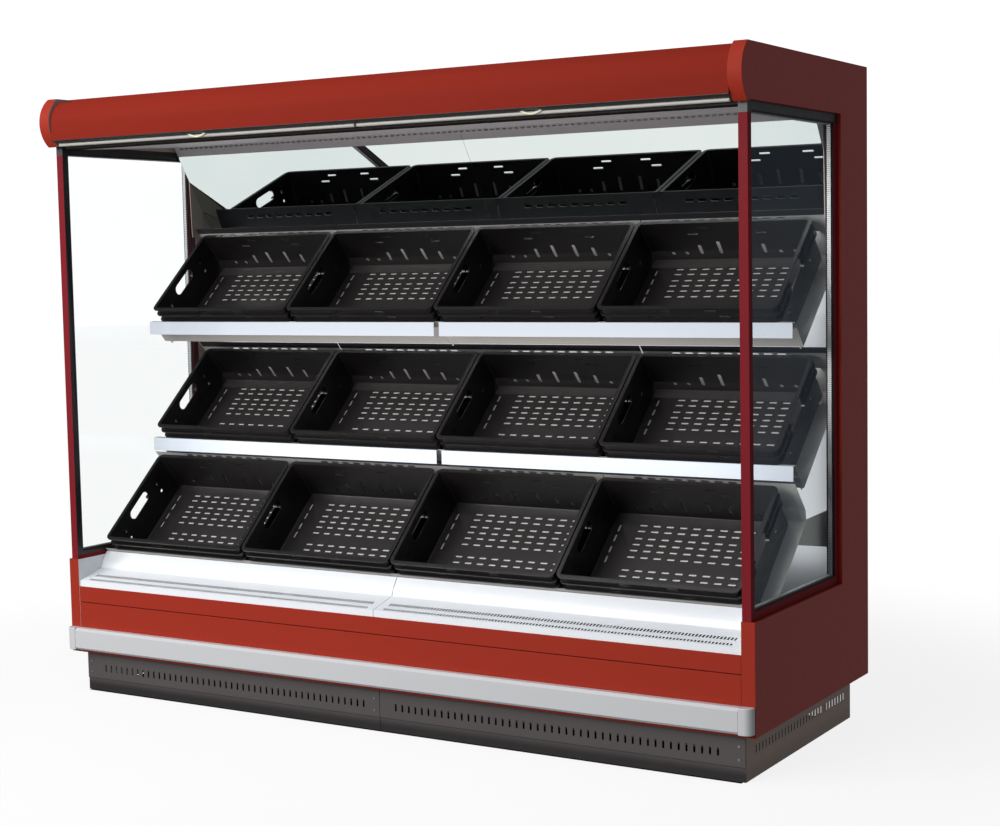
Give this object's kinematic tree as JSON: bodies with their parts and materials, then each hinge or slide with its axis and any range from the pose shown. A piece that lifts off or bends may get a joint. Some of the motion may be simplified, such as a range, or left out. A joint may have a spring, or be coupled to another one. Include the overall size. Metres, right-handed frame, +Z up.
{
  "type": "open multideck display fridge",
  "caption": "Upright open-front chilled display cabinet with tilted produce crates on decks, a mirrored canopy, glazed ends and pull-down night blinds.",
  "frame": {"origin": "on the floor under the middle of the whole cabinet", "axes": "+X along the front to the viewer's right, +Y from the open front to the back, +Z up"},
  "size_m": [2.586, 0.9604, 2.05],
  "materials": {
    "red_paint": "satin powder coat",
    "white_sheet": "satin white coat",
    "grey_sheet": "satin grey coat",
    "tray_sheet": "satin grey coat",
    "plinth_paint": "satin dark grey coat",
    "bumper_plastic": "satin light grey",
    "black_plastic": "satin black",
    "crate_plastic": "moulded black with a soft sheen",
    "clear_glass": "polished clear",
    "mirror_glass": "polished silvered",
    "seal_rubber": "matte black",
    "bare_aluminium": "natural satin",
    "blind_fabric": "woven foil-faced cloth",
    "honeycomb_plastic": "dark brown",
    "galvanised_steel": "galvanised",
    "grey_plastic": "smooth grey"
  },
  "bodies": {
    "cabinet": {"end_panel_left": "red_paint", "end_panel_right": "red_paint", "canopy_fascia": "red_paint", "front_panel_upper": "red_paint", "front_panel_lower": "red_paint", "glazing_frame_left": "red_paint", "glazing_frame_right": "red_paint", "price_rails": "white_sheet", "return_grilles": "white_sheet", "deck_fronts": "white_sheet", "back_panels": "white_sheet", "insulated_tank": "white_sheet", "ceiling_panels": "grey_sheet", "mirror_carriers": "grey_sheet", "canopy_channel": "grey_sheet", "rear_wall": "grey_sheet", "roof_panel": "grey_sheet", "crate_tray_upper": "tray_sheet", "crate_tray_middle": "tray_sheet", "crate_tray_lower": "tray_sheet", "shelf_brackets": "tray_sheet", "uprights": "tray_sheet", "plinth_fronts": "plinth_paint", "plinth_sides": "plinth_paint", "bumper_rail": "bumper_plastic", "bumper_caps": "bumper_plastic", "canopy_trim": "black_plastic", "mirror_end_brackets": "black_plastic", "side_glass": "clear_glass", "mirrors": "mirror_glass", "glass_seals": "seal_rubber", "glass_spacers": "bare_aluminium", "evaporator": "bare_aluminium", "air_honeycomb": "honeycomb_plastic", "base_frame": "galvanised_steel", "levelling_feet": "galvanised_steel", "plinth_rivets": "galvanised_steel", "fan_plate": "galvanised_steel", "fan_motors": "galvanised_steel", "drain_pipe": "grey_plastic"},
    "crate_lower_1": {"crate_lower_1": "crate_plastic"},
    "crate_lower_2": {"crate_lower_2": "crate_plastic"},
    "crate_lower_3": {"crate_lower_3": "crate_plastic"},
    "crate_lower_4": {"crate_lower_4": "crate_plastic"},
    "crate_middle_1": {"crate_middle_1": "crate_plastic"},
    "crate_middle_2": {"crate_middle_2": "crate_plastic"},
    "crate_middle_3": {"crate_middle_3": "crate_plastic"},
    "crate_middle_4": {"crate_middle_4": "crate_plastic"},
    "crate_upper_1": {"crate_upper_1": "crate_plastic"},
    "crate_upper_2": {"crate_upper_2": "crate_plastic"},
    "crate_upper_3": {"crate_upper_3": "crate_plastic"},
    "crate_upper_4": {"crate_upper_4": "crate_plastic"},
    "blind_bar_left": {"blind_bar_left": "bare_aluminium", "blind_curtain_left": "blind_fabric"},
    "blind_roller_left": {"blind_roller_left": "blind_fabric"},
    "fan_left": {"fan_rotor_left": "black_plastic"},
    "blind_bar_right": {"blind_bar_right": "bare_aluminium", "blind_curtain_right": "blind_fabric"},
    "blind_roller_right": {"blind_roller_right": "blind_fabric"},
    "fan_right": {"fan_rotor_right": "black_plastic"}
  },
  "joints": [
    {"name": "crate_lower_1_lift", "type": "slide", "parent": "cabinet", "child": "crate_lower_1", "axis": [0, -0.673, 0.7396], "range_m": [0, 0.1]},
    {"name": "crate_lower_2_lift", "type": "slide", "parent": "cabinet", "child": "crate_lower_2", "axis": [0, -0.673, 0.7396], "range_m": [0, 0.1]},
    {"name": "crate_lower_3_lift", "type": "slide", "parent": "cabinet", "child": "crate_lower_3", "axis": [0, -0.673, 0.7396], "range_m": [0, 0.1]},
    {"name": "crate_lower_4_lift", "type": "slide", "parent": "cabinet", "child": "crate_lower_4", "axis": [0, -0.673, 0.7396], "range_m": [0, 0.1]},
    {"name": "crate_middle_1_lift", "type": "slide", "parent": "cabinet", "child": "crate_middle_1", "axis": [0, -0.673, 0.7396], "range_m": [0, 0.1]},
    {"name": "crate_middle_2_lift", "type": "slide", "parent": "cabinet", "child": "crate_middle_2", "axis": [0, -0.673, 0.7396], "range_m": [0, 0.1]},
    {"name": "crate_middle_3_lift", "type": "slide", "parent": "cabinet", "child": "crate_middle_3", "axis": [0, -0.673, 0.7396], "range_m": [0, 0.1]},
    {"name": "crate_middle_4_lift", "type": "slide", "parent": "cabinet", "child": "crate_middle_4", "axis": [0, -0.673, 0.7396], "range_m": [0, 0.1]},
    {"name": "crate_upper_1_lift", "type": "slide", "parent": "cabinet", "child": "crate_upper_1", "axis": [0, -0.673, 0.7396], "range_m": [0, 0.1]},
    {"name": "crate_upper_2_lift", "type": "slide", "parent": "cabinet", "child": "crate_upper_2", "axis": [0, -0.673, 0.7396], "range_m": [0, 0.1]},
    {"name": "crate_upper_3_lift", "type": "slide", "parent": "cabinet", "child": "crate_upper_3", "axis": [0, -0.673, 0.7396], "range_m": [0, 0.1]},
    {"name": "crate_upper_4_lift", "type": "slide", "parent": "cabinet", "child": "crate_upper_4", "axis": [0, -0.673, 0.7396], "range_m": [0, 0.1]},
    {"name": "blind_pull_left", "type": "slide", "parent": "cabinet", "child": "blind_bar_left", "axis": [0, 0, -1], "range_m": [0, 1.48], "stiffness_N_per_m": 15, "springref_m": -1.5, "deforming": ["blind_curtain_left"]},
    {"name": "blind_roll_left", "type": "hinge", "parent": "cabinet", "child": "blind_roller_left", "pos_m": [-0.625, -0.41124, 1.945], "axis": [1, 0, 0], "range_deg": [0, 3545]},
    {"name": "fan_spin_left", "type": "hinge", "parent": "cabinet", "child": "fan_left", "pos_m": [-0.625, -0.11924, 0.295], "axis": [0, 1, 0], "continuous": true},
    {"name": "blind_pull_right", "type": "slide", "parent": "cabinet", "child": "blind_bar_right", "axis": [0, 0, -1], "range_m": [0, 1.48], "stiffness_N_per_m": 15, "springref_m": -1.5, "deforming": ["blind_curtain_right"]},
    {"name": "blind_roll_right", "type": "hinge", "parent": "cabinet", "child": "blind_roller_right", "pos_m": [0.625, -0.41124, 1.945], "axis": [1, 0, 0], "range_deg": [0, 3545]},
    {"name": "fan_spin_right", "type": "hinge", "parent": "cabinet", "child": "fan_right", "pos_m": [0.625, -0.11924, 0.295], "axis": [0, 1, 0], "continuous": true}
  ],
  "couplings": [
    {"joint": "blind_roll_left", "follows": "blind_pull_left", "rad_per_m": 41.667},
    {"joint": "blind_roll_right", "follows": "blind_pull_right", "rad_per_m": 41.667}
  ]
}
